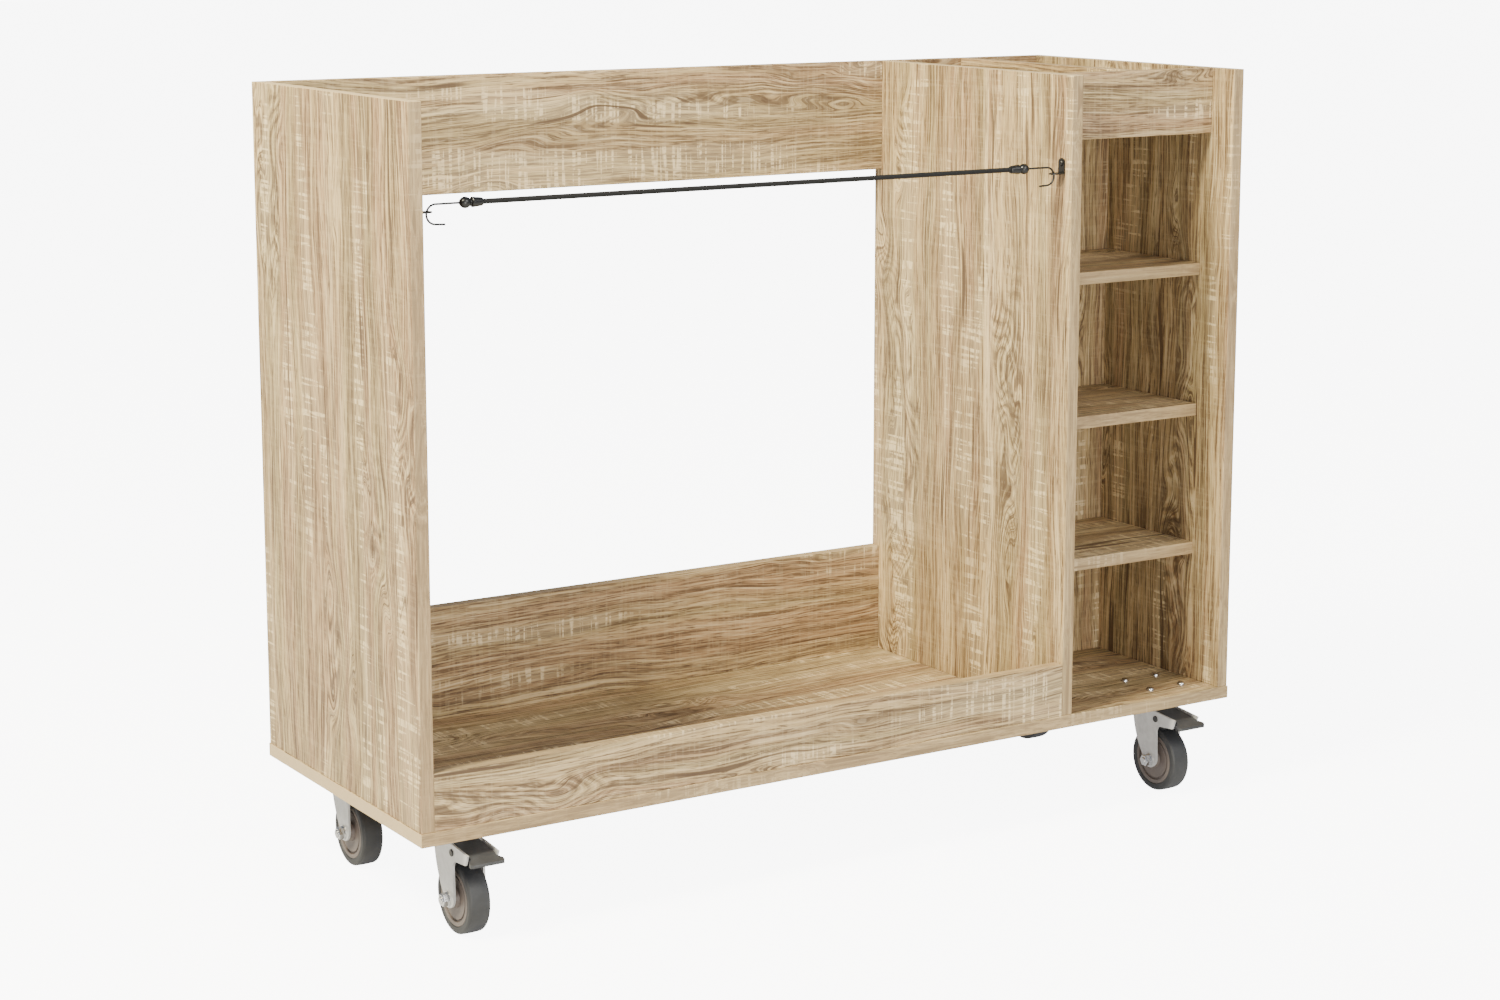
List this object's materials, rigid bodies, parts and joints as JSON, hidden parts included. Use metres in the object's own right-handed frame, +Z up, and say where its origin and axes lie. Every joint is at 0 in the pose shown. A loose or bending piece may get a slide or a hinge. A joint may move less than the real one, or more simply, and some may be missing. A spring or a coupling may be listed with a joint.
{
  "type": "rolling storage rack",
  "caption": "Low rolling storage rack of laminated boards: open bay with rails and an elastic cord, shelf column with a divided top tray, swivel casters with brake pedals in front.",
  "frame": {"origin": "on the floor, under the middle of the box round the base board and the brake pedals", "axes": "+X to the right along the front, +Y from the front to the back, +Z up"},
  "size_m": [1.1, 0.417, 0.889],
  "materials": {
    "oak_laminate": "matt textured laminate",
    "dowel_beech": "plain",
    "zinc_fasteners": "zinc plated",
    "bright_bolts": "bright",
    "zinc_plated_steel": "satin zinc",
    "bush_plastic": "plain",
    "tyre_rubber": "satin",
    "hub_plastic": "satin",
    "pedal_plastic": "satin",
    "bracket_steel": "black",
    "hook_wire": "black coated",
    "ferrule_plastic": "satin",
    "cord_fabric": "braided"
  },
  "bodies": {
    "carcass": {"back_left_caster_plate": "zinc_plated_steel", "back_right_caster_plate": "zinc_plated_steel", "base_panel": "oak_laminate", "base_screws": "zinc_fasteners", "bottom_shelf": "oak_laminate", "bracket_screws": "bracket_steel", "caster_bolts": "bright_bolts", "column_back_panel": "oak_laminate", "column_back_rail": "oak_laminate", "column_front_rail": "oak_laminate", "divider_panel": "oak_laminate", "dowels": "dowel_beech", "elastic_cord": "cord_fabric", "front_kick_rail": "oak_laminate", "front_left_caster_plate": "zinc_plated_steel", "front_right_caster_plate": "zinc_plated_steel", "kingpins": "zinc_fasteners", "left_cord_bracket": "bracket_steel", "left_cord_ferrule": "ferrule_plastic", "left_cord_hook": "hook_wire", "left_side_panel": "oak_laminate", "lower_back_rail": "oak_laminate", "middle_shelf": "oak_laminate", "right_cord_bracket": "bracket_steel", "right_cord_ferrule": "ferrule_plastic", "right_cord_hook": "hook_wire", "right_side_panel": "oak_laminate", "top_shelf": "oak_laminate", "tray_bottom": "oak_laminate", "tray_partition": "oak_laminate", "upper_back_rail": "oak_laminate"},
    "front_left_pedal": {"front_left_brake_pedal": "pedal_plastic"},
    "front_left_swivel": {"front_left_swivel_fork": "zinc_plated_steel", "front_left_race_balls": "bright_bolts", "front_left_axle_bolt": "bright_bolts", "front_left_wheel_bush": "bush_plastic", "front_left_pedal_pin": "zinc_plated_steel"},
    "front_left_wheel": {"front_left_wheel_hub": "hub_plastic", "front_left_tyre": "tyre_rubber"},
    "front_right_pedal": {"front_right_brake_pedal": "pedal_plastic"},
    "front_right_swivel": {"front_right_swivel_fork": "zinc_plated_steel", "front_right_race_balls": "bright_bolts", "front_right_axle_bolt": "bright_bolts", "front_right_wheel_bush": "bush_plastic", "front_right_pedal_pin": "zinc_plated_steel"},
    "front_right_wheel": {"front_right_wheel_hub": "hub_plastic", "front_right_tyre": "tyre_rubber"},
    "back_left_swivel": {"back_left_swivel_fork": "zinc_plated_steel", "back_left_race_balls": "bright_bolts", "back_left_axle_bolt": "bright_bolts", "back_left_wheel_bush": "bush_plastic"},
    "back_left_wheel": {"back_left_wheel_hub": "hub_plastic", "back_left_tyre": "tyre_rubber"},
    "back_right_swivel": {"back_right_swivel_fork": "zinc_plated_steel", "back_right_race_balls": "bright_bolts", "back_right_axle_bolt": "bright_bolts", "back_right_wheel_bush": "bush_plastic"},
    "back_right_wheel": {"back_right_wheel_hub": "hub_plastic", "back_right_tyre": "tyre_rubber"}
  },
  "joints": [
    {"name": "front_left_swivel_turn", "type": "hinge", "parent": "carcass", "child": "front_left_swivel", "pos_m": [-0.481, -0.1305, 0.104], "axis": [0, 0, 1], "continuous": true},
    {"name": "front_left_wheel_spin", "type": "hinge", "parent": "front_left_swivel", "child": "front_left_wheel", "pos_m": [-0.481, -0.1485, 0.04], "axis": [1, 0, 0], "continuous": true},
    {"name": "front_left_brake_press", "type": "hinge", "parent": "front_left_swivel", "child": "front_left_pedal", "pos_m": [-0.481, -0.16, 0.0942], "axis": [1, 0, 0], "range_deg": [0, 18]},
    {"name": "front_right_swivel_turn", "type": "hinge", "parent": "carcass", "child": "front_right_swivel", "pos_m": [0.481, -0.1305, 0.104], "axis": [0, 0, 1], "continuous": true},
    {"name": "front_right_wheel_spin", "type": "hinge", "parent": "front_right_swivel", "child": "front_right_wheel", "pos_m": [0.481, -0.1485, 0.04], "axis": [1, 0, 0], "continuous": true},
    {"name": "front_right_brake_press", "type": "hinge", "parent": "front_right_swivel", "child": "front_right_pedal", "pos_m": [0.481, -0.16, 0.0942], "axis": [1, 0, 0], "range_deg": [0, 18]},
    {"name": "back_left_swivel_turn", "type": "hinge", "parent": "carcass", "child": "back_left_swivel", "pos_m": [-0.481, 0.1355, 0.104], "axis": [0, 0, 1], "continuous": true},
    {"name": "back_left_wheel_spin", "type": "hinge", "parent": "back_left_swivel", "child": "back_left_wheel", "pos_m": [-0.481, 0.1175, 0.04], "axis": [1, 0, 0], "continuous": true},
    {"name": "back_right_swivel_turn", "type": "hinge", "parent": "carcass", "child": "back_right_swivel", "pos_m": [0.481, 0.1355, 0.104], "axis": [0, 0, 1], "continuous": true},
    {"name": "back_right_wheel_spin", "type": "hinge", "parent": "back_right_swivel", "child": "back_right_wheel", "pos_m": [0.481, 0.1175, 0.04], "axis": [1, 0, 0], "continuous": true}
  ]
}
